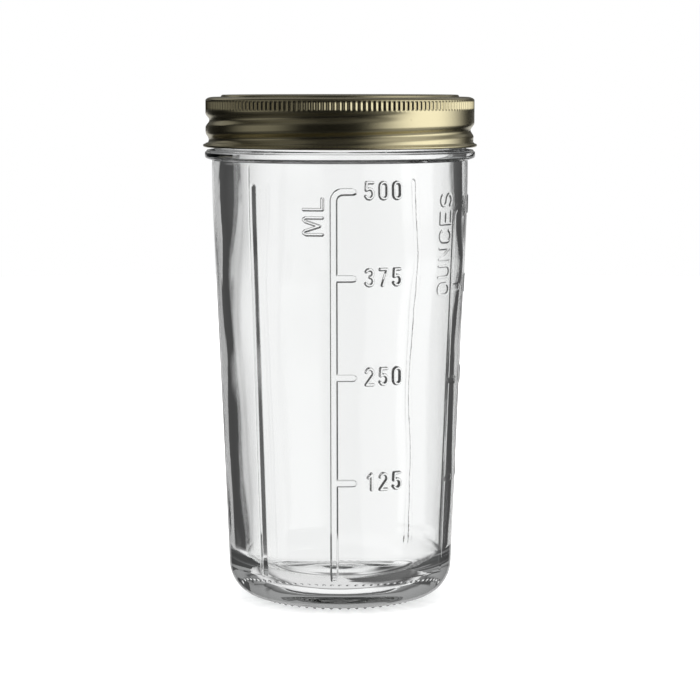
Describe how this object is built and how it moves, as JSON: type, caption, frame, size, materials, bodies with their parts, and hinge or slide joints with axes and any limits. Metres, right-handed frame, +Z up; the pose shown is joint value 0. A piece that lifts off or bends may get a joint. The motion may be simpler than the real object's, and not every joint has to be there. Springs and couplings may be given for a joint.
{
  "type": "sourdough starter jar",
  "caption": "Tall tapered clear glass jar with raised measure marks, closed by a rolled screw band over a flat lid disc with a sealing ring.",
  "frame": {"origin": "centre of the foot ring, on the surface that the jar stands on", "axes": "+Z up along the jar's axis; the millilitre scale faces -Y; +X is to the right of it"},
  "size_m": [0.0902, 0.0902, 0.1667],
  "materials": {
    "glass": "clear, polished",
    "lid_metal": "satin gold lacquer on tinplate",
    "seal": "matt sealing compound",
    "band_metal": "satin gold lacquer on tinplate"
  },
  "bodies": {
    "jar": {"glass_jar": "glass"},
    "lid": {"lid_disc": "lid_metal", "sealing_ring": "seal"},
    "band": {"screw_band": "band_metal"}
  },
  "joints": [
    {"name": "lid_lift", "type": "slide", "parent": "jar", "child": "lid", "axis": [0, 0, 1], "range_m": [0, 0.0207]},
    {"name": "band_turn", "type": "hinge", "parent": "lid", "child": "band", "pos_m": [0, 0, 0.1575], "axis": [0, 0, 1], "range_deg": [0, 1170]}
  ],
  "couplings": [
    {"joint": "lid_lift", "follows": "band_turn", "m_per_rad": 0.0010106}
  ]
}
